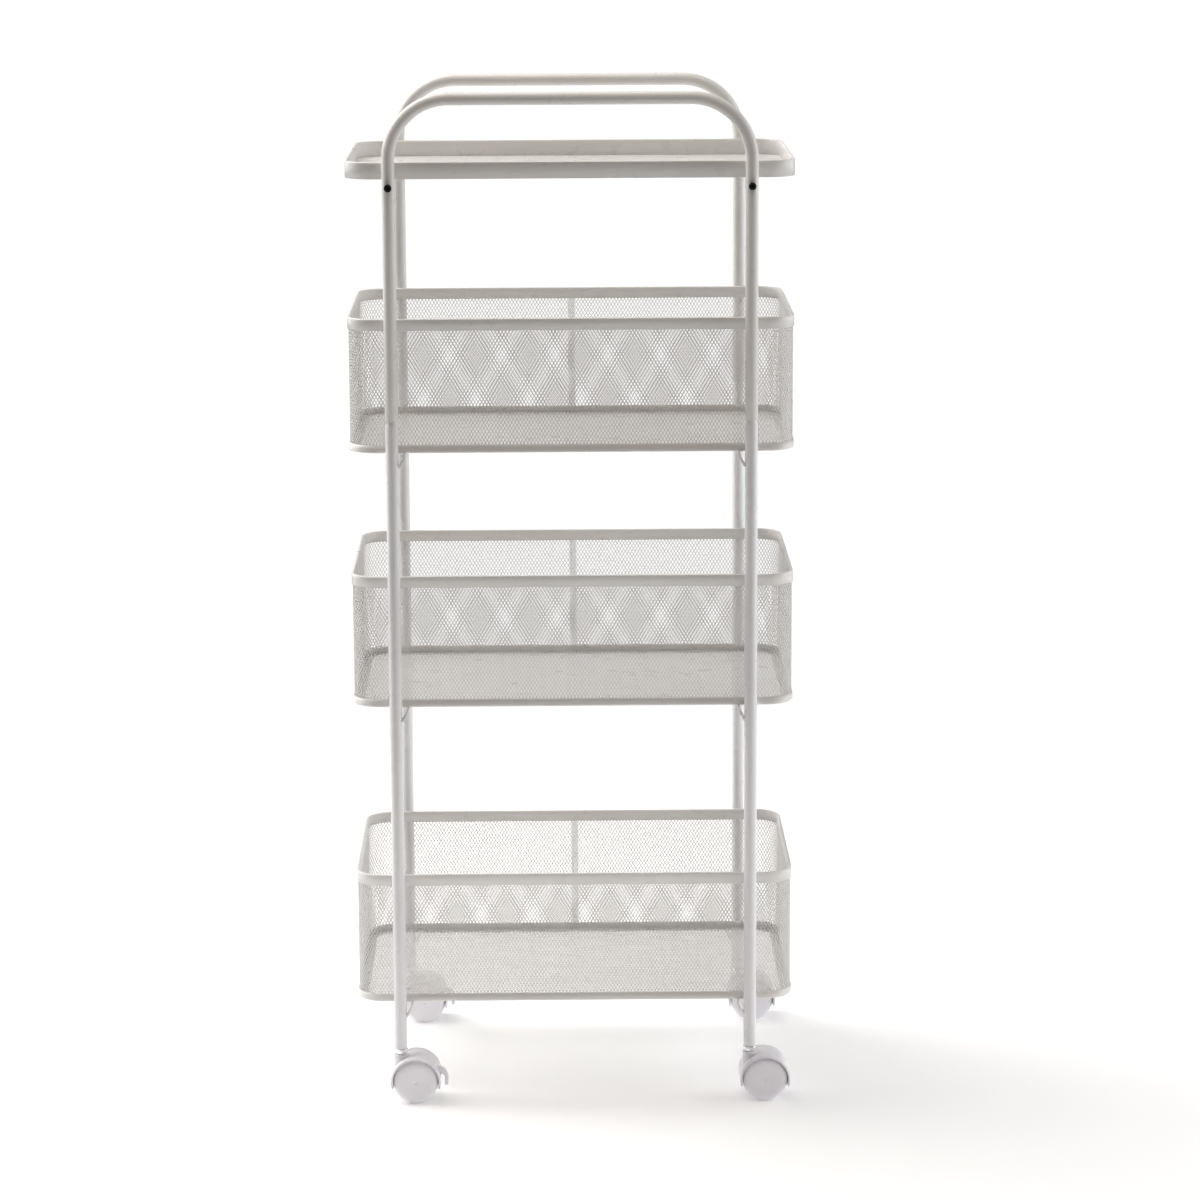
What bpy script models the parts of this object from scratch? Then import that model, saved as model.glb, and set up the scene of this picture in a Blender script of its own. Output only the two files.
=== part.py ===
"""Rolling utility cart: two bent tube frames, a shallow tray, three mesh baskets, four twin-wheel casters.

X is the cart's width, Y its depth with the front at -Y, and Z is up from the floor. Sizes are in metres.
"""
import bpy
import bmesh
from math import cos, pi, radians, sin, sqrt
from mathutils import Matrix, Vector

# --- clearances -------------------------------------------------------------------------------
FIT = 0.0003                 # gap between pieces that rest on or slide past each other
FRAME_CLEARANCE = 0.0005     # gap between a basket's face and the tube beside it

# --- tube frame -------------------------------------------------------------------------------
TUBE_D = 0.0127              # half-inch steel tube
TUBE_WALL = 0.0010
POST_SPAN_X = 0.352          # post centres, side to side
POST_SPAN_Y = 0.271          # post centres, front to rear
HANDLE_BEND = 0.059          # centreline radius at the handle's two corners
HANDLE_RISE = 0.0675         # top of the handle above the tray's rim
SPLICE_RISE = 0.0276         # shoulder of the lower post above the upper basket's underside
SPLICE_SHOW = 0.005          # cone of the swaged neck left in sight
SPLICE_NECK = 0.040          # neck length hidden in the handle tube

# --- tiers, stacked from the posts' feet upwards -----------------------------------------------
BASKET_WIDTH = 0.439
BASKET_HEIGHT = 0.1324
TRAY_HEIGHT = 0.0165
CORNER_R = 0.028             # plan corner of every basket and of the tray
FOOT_TO_LOWER = 0.0459       # posts' feet to the lower basket's underside
LOWER_TO_MIDDLE = 0.1720     # open space between two tiers
MIDDLE_TO_UPPER = 0.1231
UPPER_TO_TRAY = 0.1362

# --- sheet work -------------------------------------------------------------------------------
SHEET = 0.0008               # rim strip and bottom band
MESH = 0.0006                # expanded mesh of the baskets and of the tray's floor
RIM_HEIGHT = 0.0115          # folded strip along a basket's mouth
BAND_HEIGHT = 0.0080         # strip round a basket's underside
BAND_FLANGE = 0.010          # its ledge under the mesh floor
TAB_WIDTH = 0.0125           # tray tab behind each tube
TAB_DROP = 0.0130
TAB_SKIN = 0.00005           # tab set back from the strip's two faces, so that it welds inside them
SCREW_DROP = 0.0073          # screw axis below the tray's underside
WELD_NUT_D = 0.009
WELD_NUT_H = 0.003

# --- basket supports --------------------------------------------------------------------------
HOOK_DROP = 0.0150           # lowest point of the bent strap below the basket
HOOK_REACH = 0.0065          # how far it stands out from the tube
HOOK_STRAP = 0.0020          # strap's width where it meets the basket
HOOK_SLANT = 0.0032          # the slanting run's height, measured upright
HOOK_FRONT = 0.0030          # strap edges either side of the tube's centre, in depth
HOOK_BACK = 0.0160

# --- tray screws ------------------------------------------------------------------------------
SCREW_D = 0.0040
SCREW_HEAD_D = 0.0075
SCREW_HEAD_H = 0.0036
SCREW_SOCKET_D = 0.0036
SCREW_SOCKET_DEPTH = 0.0020
SCREW_TIP = 0.0010           # thread standing past the weld nut
NUT_SIDES = 6

# --- casters ----------------------------------------------------------------------------------
WHEEL_R = 0.0225
WHEEL_W = 0.0134
WHEEL_EDGE = 0.0025          # rounding of the tread's edges
WHEEL_FLAT_R = 0.0135        # the disc's flat middle
WHEEL_DOME = 0.0003          # how far the middle stands out
WHEEL_HUB_DEPTH = 0.0100     # blind hole that takes the axle
CASTER_TRAIL = 0.0150        # axle behind the stem
FENDER_GAP = 0.0006          # fender clear of the wheel
FENDER_WALL = 0.0014
FENDER_LIP = 0.0008          # how much further the lip stands out
FENDER_LIP_W = 0.0035
FENDER_START = radians(-15)  # the fender's ends, measured at the axle from straight behind
FENDER_END = radians(195)
HUB_W = 0.0125               # body between the two wheels
BOSS_STAND = 0.00565         # stem boss standing above the fender's crown
BOSS_D = 0.0144
AXLE_D = 0.0040
STEM_D = 0.0074
STEM_IN_HOOD = 0.0140
STEM_IN_SOCKET = 0.0240
SOCKET_LENGTH = 0.0300
COLLAR_D = 0.0136
COLLAR_NECK_D = 0.0096
COLLAR_H = 0.0055
COLLAR_FLANGE = 0.0016

# --- brake lever ------------------------------------------------------------------------------
BRAKED = (("front", "left"), ("rear", "left"))
LEVER_W = 0.0064
LEVER_SLOT_GAP = 0.0006
LEVER_PIN_D = 0.0025
LEVER_HUB_R = 0.0032
LEVER_PIN_INSET = 0.0028     # pin inside the fender's inner face
LEVER_PIN_ANGLE = radians(24.7)
LEVER_ARM = 0.0036           # thickness of arm and pedal
LEVER_HEEL = 0.0022          # flat behind the pin
LEVER_SHOULDER = 0.0062      # where the arm starts to slope down
LEVER_REACH = 0.0140         # pedal's outer face behind the pin
LEVER_FALL = 0.0160          # pedal's lower end below the pin

# --- facets -----------------------------------------------------------------------------------
TUBE_SIDES = 16
BEND_STEPS = 6
FENDER_STEPS = 16
CORNER_STEPS = 5
WHEEL_SIDES = 24
SMALL_SIDES = 12

# --- places worked out from the sizes above -----------------------------------------------------
TUBE_R = TUBE_D / 2
BORE_R = TUBE_R - TUBE_WALL
NECK_R = BORE_R - FIT
AXLE_Z = WHEEL_R
FENDER_INNER = WHEEL_R + FENDER_GAP
FENDER_OUTER = FENDER_INNER + FENDER_WALL
FENDER_HALF_W = HUB_W / 2 + 2 * FIT + WHEEL_W
BOSS_RISE = sqrt(FENDER_OUTER ** 2 - CASTER_TRAIL ** 2) + BOSS_STAND
LEVER_PIN_BACK = (FENDER_INNER - LEVER_PIN_INSET) * cos(LEVER_PIN_ANGLE)
LEVER_PIN_RISE = (FENDER_INNER - LEVER_PIN_INSET) * sin(LEVER_PIN_ANGLE)
BOSS_TOP = AXLE_Z + BOSS_RISE
FOOT_Z = BOSS_TOP + FIT + COLLAR_H + FIT
BASKET_DEPTH = POST_SPAN_Y - TUBE_D - 2 * FRAME_CLEARANCE
LOWER_Z = FOOT_Z + FOOT_TO_LOWER
MIDDLE_Z = LOWER_Z + BASKET_HEIGHT + LOWER_TO_MIDDLE
UPPER_Z = MIDDLE_Z + BASKET_HEIGHT + MIDDLE_TO_UPPER
TRAY_Z = UPPER_Z + BASKET_HEIGHT + UPPER_TO_TRAY
BASKET_Z = {"lower": LOWER_Z, "middle": MIDDLE_Z, "upper": UPPER_Z}
HANDLE_TOP_Z = TRAY_Z + TRAY_HEIGHT + HANDLE_RISE - TUBE_R
SHOULDER_Z = UPPER_Z + SPLICE_RISE
HANDLE_END_Z = SHOULDER_Z + SPLICE_SHOW
SCREW_Z = TRAY_Z - SCREW_DROP
RIM_THICKNESS = 2 * SHEET + MESH + 2 * FIT
SIDE = {"left": -1, "right": 1}
END = {"front": -1, "rear": 1}
AXIS_Y = Vector((0, 1, 0))
AXIS_Z = Vector((0, 0, 1))


# --- materials --------------------------------------------------------------------------------
FINISHES = {
    "powder_coat": ((0.80, 0.78, 0.74), 0.42, 0.0),
    "white_plastic": ((0.80, 0.79, 0.83), 0.38, 0.0),
    "chrome": ((0.88, 0.88, 0.89), 0.10, 1.0),
    "black_steel": ((0.03, 0.03, 0.03), 0.35, 0.9),
    "bright_steel": ((0.62, 0.62, 0.62), 0.30, 1.0),
}


def finish(name, kind):
    """Give a sub-part its own material of one of the finishes."""
    colour, roughness, metallic = FINISHES[kind]
    material = bpy.data.materials.new(name + "_finish")
    material.use_nodes = True
    shader = material.node_tree.nodes["Principled BSDF"]
    shader.inputs["Base Color"].default_value = (*colour, 1)
    shader.inputs["Roughness"].default_value = roughness
    shader.inputs["Metallic"].default_value = metallic
    return material


# --- modelling steps --------------------------------------------------------------------------
def mesh_of(bm):
    """Close a bmesh into mesh data with its faces pointing out and its round faces smooth."""
    bmesh.ops.remove_doubles(bm, verts=bm.verts[:], dist=1e-6)
    bmesh.ops.recalc_face_normals(bm, faces=bm.faces[:])
    mesh = bpy.data.meshes.new("shape")
    bm.to_mesh(mesh)
    bm.free()
    mesh.shade_smooth()
    mesh.set_sharp_from_angle(angle=radians(35))
    return mesh


def place(name, mesh, kind, location=(0, 0, 0), parent=None):
    """Put one sub-part in the scene, relative to its parent where it has one."""
    own = mesh.copy()
    own.name = name
    own.materials.clear()
    own.materials.append(finish(name, kind))
    piece = bpy.data.objects.new(name, own)
    piece.location = location
    piece.parent = parent
    bpy.context.scene.collection.objects.link(piece)
    return piece


def combine(mesh, tool, operation):
    """Join a tool shape to a mesh, or cut it away, and return the new mesh."""
    base = bpy.data.objects.new("base", mesh)
    other = bpy.data.objects.new("tool", tool)
    bpy.context.scene.collection.objects.link(base)
    bpy.context.scene.collection.objects.link(other)
    step = base.modifiers.new(operation.lower(), "BOOLEAN")
    step.operation = operation
    step.solver = "EXACT"
    step.object = other
    graph = bpy.context.evaluated_depsgraph_get()
    result = bpy.data.meshes.new_from_object(base.evaluated_get(graph))
    bpy.data.objects.remove(base)
    bpy.data.objects.remove(other)
    bm = bmesh.new()
    bm.from_mesh(result)
    bmesh.ops.dissolve_degenerate(bm, dist=1e-6, edges=bm.edges[:])
    return mesh_of(bm)


def faces_in(geometry):
    return [item for item in geometry if isinstance(item, bmesh.types.BMFace)]


def region(faces):
    """Give the faces with their edges and corners, so that extruding leaves no face inside."""
    edges = {edge for face in faces for edge in face.edges}
    verts = {vert for face in faces for vert in face.verts}
    return list(faces) + sorted(edges, key=lambda e: e.index) + sorted(verts, key=lambda v: v.index)


def push(bm, faces, travel):
    """Extrude faces straight along a vector and return the faces at the far end."""
    bm.verts.index_update()
    bm.edges.index_update()
    grown = bmesh.ops.extrude_face_region(bm, geom=region(faces))["geom"]
    verts = [item for item in grown if isinstance(item, bmesh.types.BMVert)]
    bmesh.ops.translate(bm, verts=verts, vec=travel)
    return faces_in(grown)


def swing(bm, faces, centre, axis, angle, steps):
    """Extrude faces along an arc and return the faces at the far end."""
    bm.verts.index_update()
    bm.edges.index_update()
    swept = bmesh.ops.spin(bm, geom=region(faces), cent=centre, axis=axis, angle=angle, steps=steps,
                           use_duplicate=False)
    return faces_in(swept["geom_last"])


def turned(profile, sides, axis=AXIS_Z):
    """Turn a closed outline of (radius, height) points once round an axis."""
    bm = bmesh.new()
    verts = [bm.verts.new((radius, 0, height)) for radius, height in profile]
    edges = [bm.edges.new((a, b)) for a, b in zip(verts, verts[1:])]
    if profile[0][0] > 0:
        edges.append(bm.edges.new((verts[-1], verts[0])))
    bmesh.ops.spin(bm, geom=verts + edges, cent=(0, 0, 0), axis=AXIS_Z, angle=2 * pi, steps=sides,
                   use_merge=True, use_duplicate=False)
    lay = AXIS_Z.rotation_difference(axis).to_matrix()
    bmesh.ops.rotate(bm, verts=bm.verts[:], cent=(0, 0, 0), matrix=lay)
    return mesh_of(bm)


def rod(radius, start, length, sides, axis=AXIS_Z, centre=(0, 0, 0)):
    """Make a plain round bar that starts a distance along its axis."""
    mesh = turned(((0, start), (radius, start), (radius, start + length), (0, start + length)),
                  sides, axis)
    mesh.transform(Matrix.Translation(centre))
    return mesh


def plate(outline, y_from, y_to):
    """Push a flat outline of (x, z) points from one depth to another."""
    bm = bmesh.new()
    face = bm.faces.new([bm.verts.new((x, y_from, z)) for x, z in outline])
    push(bm, [face], (0, y_to - y_from, 0))
    return mesh_of(bm)


def block(low, high):
    """Make a box between two corners."""
    outline = ((low[0], low[2]), (high[0], low[2]), (high[0], high[2]), (low[0], high[2]))
    return plate(outline, low[1], high[1])


def hoop(section, width, depth, corner):
    """Run a closed section of (inset, height) points round a rectangle with round corners."""
    bm = bmesh.new()
    x = width / 2 - corner
    y = depth / 2 - corner
    start = bm.faces.new([bm.verts.new((x, inset - depth / 2, height)) for inset, height in section])
    faces = [start]
    legs = (((x, -y), (0, 2 * y)), ((x, y), (-2 * x, 0)), ((-x, y), (0, -2 * y)), ((-x, -y), (2 * x, 0)))
    for centre, travel in legs:
        faces = swing(bm, faces, (*centre, 0), AXIS_Z, pi / 2, CORNER_STEPS)
        faces = push(bm, faces, (*travel, 0))
    ends = [face for face in [start] + faces if face.is_valid]
    bmesh.ops.delete(bm, geom=ends, context="FACES_ONLY")
    return mesh_of(bm)


def pan(width, depth, corner, height):
    """Make an open tub of mesh gauge with round corners, standing on z = 0."""
    bm = bmesh.new()
    bmesh.ops.create_grid(bm, x_segments=1, y_segments=1, size=0.5)
    bmesh.ops.scale(bm, verts=bm.verts[:], vec=(width, depth, 1))
    bmesh.ops.bevel(bm, geom=bm.verts[:], offset=corner, segments=CORNER_STEPS, profile=0.5,
                    affect="VERTICES", material=-1)
    top = push(bm, bm.faces[:], (0, 0, height))
    bmesh.ops.inset_region(bm, faces=top, thickness=MESH, use_even_offset=True)
    push(bm, top, (0, 0, MESH - height))
    return mesh_of(bm)


# --- tube frame -------------------------------------------------------------------------------
def handle_mesh():
    """Bend one handle tube: up from a post, across the cart, and down to the other post."""
    bm = bmesh.new()
    left = -POST_SPAN_X / 2
    foot = Matrix.Translation((left, 0, HANDLE_END_Z))
    for radius in (TUBE_R, BORE_R):
        bmesh.ops.create_circle(bm, segments=TUBE_SIDES, radius=radius, matrix=foot)
    bmesh.ops.bridge_loops(bm, edges=bm.edges[:])
    bend_z = HANDLE_TOP_Z - HANDLE_BEND
    bend_x = left + HANDLE_BEND
    faces = push(bm, bm.faces[:], (0, 0, bend_z - HANDLE_END_Z))
    faces = swing(bm, faces, (bend_x, 0, bend_z), AXIS_Y, pi / 2, BEND_STEPS)
    faces = push(bm, faces, (-2 * bend_x, 0, 0))
    faces = swing(bm, faces, (-bend_x, 0, bend_z), AXIS_Y, pi / 2, BEND_STEPS)
    push(bm, faces, (0, 0, HANDLE_END_Z - bend_z))
    mesh = mesh_of(bm)
    for side in SIDE.values():
        hole = rod(SCREW_D / 2 + FIT, -TUBE_D, 2 * TUBE_D, SMALL_SIDES, AXIS_Y,
                   (side * POST_SPAN_X / 2, 0, SCREW_Z))
        mesh = combine(mesh, hole, "DIFFERENCE")
    return mesh


def hook_mesh(basket_z, inboard, rearward):
    """Bend the strap that carries a basket: out of the tube at a slant, then level under the basket."""
    top = basket_z - FIT
    root = TUBE_R - TUBE_WALL / 2
    tip = TUBE_R + HOOK_REACH
    low = basket_z - HOOK_DROP
    outline = ((0, low), (root, low), (tip, top - HOOK_SLANT), (tip, top), (tip - HOOK_STRAP, top),
               (root, low + HOOK_SLANT), (0, low + HOOK_SLANT))
    return plate([(inboard * x, z) for x, z in outline], -rearward * HOOK_FRONT, rearward * HOOK_BACK)


def lower_post_mesh(side, end):
    """Make a lower post: tube with a swaged neck on top and three welded basket straps."""
    neck_top = HANDLE_END_Z + SPLICE_NECK
    outline = ((0, FOOT_Z), (TUBE_R, FOOT_Z), (TUBE_R, SHOULDER_Z), (NECK_R, HANDLE_END_Z),
               (NECK_R, neck_top), (0, neck_top))
    mesh = turned(outline, TUBE_SIDES)
    for basket_z in BASKET_Z.values():
        mesh = combine(mesh, hook_mesh(basket_z, -side, -end), "UNION")
    post_bore = NECK_R - TUBE_WALL
    cone_foot = SHOULDER_Z - TUBE_WALL
    bore = ((0, FOOT_Z - TUBE_D), (BORE_R, FOOT_Z - TUBE_D), (BORE_R, cone_foot),
            (post_bore, HANDLE_END_Z - TUBE_WALL), (post_bore, neck_top + TUBE_D), (0, neck_top + TUBE_D))
    return combine(mesh, turned(bore, TUBE_SIDES), "DIFFERENCE")


def build_frame():
    handle = handle_mesh()
    for end_name, end in END.items():
        y = end * POST_SPAN_Y / 2
        place(f"{end_name}_handle_tube", handle, "powder_coat", (0, y, 0))
        for side_name, side in SIDE.items():
            x = side * POST_SPAN_X / 2
            place(f"{end_name}_{side_name}_lower_post", lower_post_mesh(side, end), "powder_coat", (x, y, 0))


# --- tray -------------------------------------------------------------------------------------
def tray_rim_mesh():
    """Fold the tray's rim strip, with a screw tab and weld nut behind each tube."""
    top = TRAY_Z + TRAY_HEIGHT
    slot_top = top - SHEET
    inner_foot = TRAY_Z + MESH + FIT
    section = ((0, TRAY_Z), (0, top), (RIM_THICKNESS, top), (RIM_THICKNESS, inner_foot),
               (RIM_THICKNESS - SHEET, inner_foot), (RIM_THICKNESS - SHEET, slot_top),
               (SHEET, slot_top), (SHEET, TRAY_Z))
    mesh = hoop(section, BASKET_WIDTH, BASKET_DEPTH, CORNER_R)
    for end in END.values():
        face = end * BASKET_DEPTH / 2
        edges = sorted((face - end * TAB_SKIN, face - end * (SHEET - TAB_SKIN)))
        for side in SIDE.values():
            x = side * POST_SPAN_X / 2
            tab = block((x - TAB_WIDTH / 2, edges[0], TRAY_Z - TAB_DROP),
                        (x + TAB_WIDTH / 2, edges[1], TRAY_Z + SHEET))
            mesh = combine(mesh, tab, "UNION")
            nut_from = face - end * SHEET / 2
            nut_length = SHEET / 2 + WELD_NUT_H
            nut = rod(WELD_NUT_D / 2, 0, nut_length, NUT_SIDES, AXIS_Y * -end, (x, nut_from, SCREW_Z))
            mesh = combine(mesh, nut, "UNION")
            hole = rod(SCREW_D / 2 + FIT, -TUBE_D, 2 * TUBE_D, SMALL_SIDES, AXIS_Y, (x, face, SCREW_Z))
            mesh = combine(mesh, hole, "DIFFERENCE")
    return mesh


def screw_mesh():
    """Turn a socket-head screw along +Y, its head's underside at the origin."""
    tube_to_nut = TUBE_D + FRAME_CLEARANCE + SHEET + WELD_NUT_H + SCREW_TIP
    socket_end = SCREW_SOCKET_DEPTH - SCREW_HEAD_H
    profile = ((0, socket_end), (SCREW_SOCKET_D / 2, socket_end),
               (SCREW_SOCKET_D / 2, -SCREW_HEAD_H), (SCREW_HEAD_D / 2, -SCREW_HEAD_H),
               (SCREW_HEAD_D / 2, 0), (SCREW_D / 2, 0), (SCREW_D / 2, tube_to_nut + FIT),
               (0, tube_to_nut + FIT))
    return turned(profile, SMALL_SIDES, AXIS_Y)


def build_tray():
    place("tray_rim", tray_rim_mesh(), "powder_coat")
    inset = SHEET + FIT
    wall = TRAY_HEIGHT - SHEET - FIT
    floor = pan(BASKET_WIDTH - 2 * inset, BASKET_DEPTH - 2 * inset, CORNER_R - inset, wall)
    place("tray_mesh_floor", floor, "powder_coat", (0, 0, TRAY_Z))
    screw = screw_mesh()
    flipped = screw.copy()
    flipped.transform(Matrix.Rotation(pi, 4, "Z"))
    for end_name, end in END.items():
        y = end * (POST_SPAN_Y / 2 + TUBE_R + FIT)
        for side_name, side in SIDE.items():
            mesh = screw if end < 0 else flipped
            place(f"{end_name}_{side_name}_tray_screw", mesh, "black_steel",
                  (side * POST_SPAN_X / 2, y, SCREW_Z))


# --- baskets ----------------------------------------------------------------------------------
def build_baskets():
    """Make each basket from its folded rim strip, its mesh tub and its bottom band."""
    rim_foot = BASKET_HEIGHT - RIM_HEIGHT
    slot_top = BASKET_HEIGHT - SHEET
    rim_section = ((0, rim_foot), (0, BASKET_HEIGHT), (RIM_THICKNESS, BASKET_HEIGHT),
                   (RIM_THICKNESS, rim_foot), (RIM_THICKNESS - SHEET, rim_foot),
                   (RIM_THICKNESS - SHEET, slot_top), (SHEET, slot_top), (SHEET, rim_foot))
    band_section = ((0, 0), (0, BAND_HEIGHT), (SHEET, BAND_HEIGHT), (SHEET, SHEET),
                    (BAND_FLANGE, SHEET), (BAND_FLANGE, 0))
    inset = SHEET + FIT
    rim = hoop(rim_section, BASKET_WIDTH, BASKET_DEPTH, CORNER_R)
    band = hoop(band_section, BASKET_WIDTH, BASKET_DEPTH, CORNER_R)
    tub = pan(BASKET_WIDTH - 2 * inset, BASKET_DEPTH - 2 * inset, CORNER_R - inset,
              BASKET_HEIGHT - 2 * inset)
    for tier, z in BASKET_Z.items():
        place(f"{tier}_basket_rim", rim, "powder_coat", (0, 0, z))
        place(f"{tier}_basket_mesh", tub, "powder_coat", (0, 0, z + inset))
        place(f"{tier}_basket_bottom_band", band, "powder_coat", (0, 0, z))


# --- casters ----------------------------------------------------------------------------------
def fender_mesh(with_slot):
    """Mould a caster hood: two lipped fenders, the body between the wheels and the stem boss."""
    inner = FENDER_INNER
    outer = FENDER_OUTER
    half = FENDER_HALF_W
    lip = outer + FENDER_LIP
    step = half - FENDER_LIP_W
    start = Matrix.Rotation(-FENDER_START, 3, "Y")
    bm = bmesh.new()
    section = ((inner, -half), (lip, -half), (lip, -step), (outer, FENDER_LIP - step),
               (outer, step - FENDER_LIP), (lip, step), (lip, half), (inner, half))
    face = bm.faces.new([bm.verts.new(start @ Vector((r, y, 0))) for r, y in section])
    sweep = FENDER_END - FENDER_START
    swing(bm, [face], (0, 0, 0), -AXIS_Y, sweep, FENDER_STEPS)
    mesh = mesh_of(bm)
    middle = (inner + outer) / 2
    arc = [FENDER_START + sweep * i / FENDER_STEPS for i in range(FENDER_STEPS + 1)]
    body = plate([(middle * cos(a), middle * sin(a)) for a in arc], -HUB_W / 2, HUB_W / 2)
    mesh = combine(mesh, body, "UNION")
    boss = rod(BOSS_D / 2, 0, BOSS_RISE, TUBE_SIDES, AXIS_Z, (-CASTER_TRAIL, 0, 0))
    for bay in (FIT - HUB_W / 2 - BOSS_D, HUB_W / 2 - FIT):
        boss = combine(boss, rod(middle, bay, BOSS_D, WHEEL_SIDES, AXIS_Y), "DIFFERENCE")
    mesh = combine(mesh, boss, "UNION")
    stem_bore = rod(STEM_D / 2 + FIT, BOSS_RISE - STEM_IN_HOOD - FIT, STEM_IN_HOOD + TUBE_D,
                    SMALL_SIDES, AXIS_Z, (-CASTER_TRAIL, 0, 0))
    mesh = combine(mesh, stem_bore, "DIFFERENCE")
    axle_bore = rod(AXLE_D / 2 + FIT, -HUB_W, 2 * HUB_W, SMALL_SIDES, AXIS_Y)
    mesh = combine(mesh, axle_bore, "DIFFERENCE")
    if with_slot:
        slot = LEVER_W / 2 + LEVER_SLOT_GAP
        back = LEVER_PIN_BACK - LEVER_HUB_R - FIT * 2
        roof = LEVER_PIN_RISE + LEVER_HUB_R + FIT * 2
        cut = block((back, -slot, -2 * WHEEL_R), (2 * lip, slot, roof))
        mesh = combine(mesh, cut, "DIFFERENCE")
        pin_bore = rod(LEVER_PIN_D / 2 + FIT, -HUB_W, 2 * HUB_W, SMALL_SIDES, AXIS_Y,
                       (LEVER_PIN_BACK, 0, LEVER_PIN_RISE))
        mesh = combine(mesh, pin_bore, "DIFFERENCE")
    return mesh


def wheel_mesh():
    """Turn one wheel about Y: plain domed disc outside (-Y), blind axle hole inside."""
    face = -WHEEL_W
    bore = AXLE_D / 2 + FIT
    edge = [(WHEEL_R - WHEEL_EDGE * (1 - sin(a)), face + WHEEL_EDGE * (1 - cos(a)))
            for a in (0, pi / 4, pi / 2)]
    profile = [(0, face - WHEEL_DOME), (WHEEL_FLAT_R, face)] + edge
    profile += [(WHEEL_R, -WHEEL_EDGE / 2), (WHEEL_R - WHEEL_EDGE / 2, 0), (bore, 0)]
    profile += [(bore, -WHEEL_HUB_DEPTH), (0, -WHEEL_HUB_DEPTH)]
    return turned(profile, WHEEL_SIDES, AXIS_Y)


def stem_mesh():
    """Turn the chromed stem from the post's foot: collar below it, spigots above and below."""
    collar_foot = -FIT - COLLAR_H
    profile = ((0, collar_foot - STEM_IN_HOOD), (STEM_D / 2, collar_foot - STEM_IN_HOOD),
               (STEM_D / 2, collar_foot), (COLLAR_NECK_D / 2, collar_foot),
               (COLLAR_NECK_D / 2, -FIT - COLLAR_FLANGE), (COLLAR_D / 2, -FIT - COLLAR_FLANGE / 2),
               (COLLAR_D / 2, -FIT), (STEM_D / 2, -FIT), (STEM_D / 2, STEM_IN_SOCKET), (0, STEM_IN_SOCKET))
    return turned(profile, SMALL_SIDES)


def socket_mesh():
    """Turn the sleeve pressed into the post's foot, open at both ends."""
    outer = BORE_R - FIT
    inner = STEM_D / 2 + FIT
    return turned(((inner, 0), (outer, 0), (outer, SOCKET_LENGTH), (inner, SOCKET_LENGTH)), SMALL_SIDES)


def lever_mesh():
    """Mould the brake pedal about its pin: hub, arm out of the hood, and a pedal hanging down."""
    pedal_in = LEVER_REACH - LEVER_ARM
    outline = ((-LEVER_HEEL, LEVER_HEEL), (0, LEVER_HUB_R), (LEVER_SHOULDER, LEVER_HUB_R),
               (LEVER_REACH - LEVER_HEEL, -LEVER_ARM / 2), (LEVER_REACH, -LEVER_HUB_R - LEVER_HEEL),
               (LEVER_REACH, -LEVER_FALL), (pedal_in, -LEVER_FALL), (pedal_in, -LEVER_HUB_R - LEVER_ARM),
               (LEVER_SHOULDER, -LEVER_HUB_R), (0, -LEVER_HUB_R), (-LEVER_HEEL, -LEVER_HEEL),
               (-LEVER_HUB_R, 0))
    mesh = plate(outline, -LEVER_W / 2, LEVER_W / 2)
    return combine(mesh, rod(LEVER_PIN_D / 2 + FIT, -LEVER_W, 2 * LEVER_W, SMALL_SIDES, AXIS_Y), "DIFFERENCE")


def build_casters():
    wheel = wheel_mesh()
    far_wheel = wheel.copy()
    far_wheel.transform(Matrix.Rotation(pi, 4, "Z"))
    hood = {False: fender_mesh(False), True: fender_mesh(True)}
    stem = stem_mesh()
    socket = socket_mesh()
    lever = lever_mesh()
    axle_reach = HUB_W / 2 + FIT * 2 + WHEEL_HUB_DEPTH - FIT
    axle = rod(AXLE_D / 2, -axle_reach, 2 * axle_reach, SMALL_SIDES, AXIS_Y)
    lever_pin = rod(LEVER_PIN_D / 2, FIT - HUB_W / 2, HUB_W - 2 * FIT, SMALL_SIDES, AXIS_Y)
    for end_name, end in END.items():
        for side_name, side in SIDE.items():
            corner = f"{end_name}_{side_name}"
            braked = (end_name, side_name) in BRAKED
            x = side * POST_SPAN_X / 2
            y = end * POST_SPAN_Y / 2
            place(f"{corner}_stem_socket", socket, "white_plastic", (x, y, FOOT_Z + FIT))
            place(f"{corner}_caster_stem", stem, "chrome", (x, y, FOOT_Z))
            swivel = bpy.data.objects.new(f"{corner}_swivel", None)
            swivel.location = (x, y, 0)
            bpy.context.scene.collection.objects.link(swivel)
            hub = (CASTER_TRAIL, 0, AXLE_Z)
            place(f"{corner}_caster_hood", hood[braked], "white_plastic", hub, swivel)
            place(f"{corner}_caster_axle", axle, "bright_steel", hub, swivel)
            reach = HUB_W / 2 + FIT * 2
            place(f"{corner}_wheel_a", wheel, "white_plastic", (CASTER_TRAIL, -reach, AXLE_Z), swivel)
            place(f"{corner}_wheel_b", far_wheel, "white_plastic", (CASTER_TRAIL, reach, AXLE_Z), swivel)
            if braked:
                pin = (CASTER_TRAIL + LEVER_PIN_BACK, 0, AXLE_Z + LEVER_PIN_RISE)
                place(f"{corner}_brake_pin", lever_pin, "bright_steel", pin, swivel)
                place(f"{corner}_brake_lever", lever, "white_plastic", pin, swivel)


for leftover in list(bpy.data.objects):
    bpy.data.objects.remove(leftover)
build_frame()
build_tray()
build_baskets()
build_casters()
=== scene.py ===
"""Rolling utility cart, finished: coated tube frames, mesh baskets and tray, hooded twin-wheel casters.

Sizes are in metres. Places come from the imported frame, which keeps every piece where the design put it.
"""
import bmesh
import bpy
from math import atan2, cos, hypot, pi, radians, sin
from mathutils import Matrix, Vector


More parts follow.
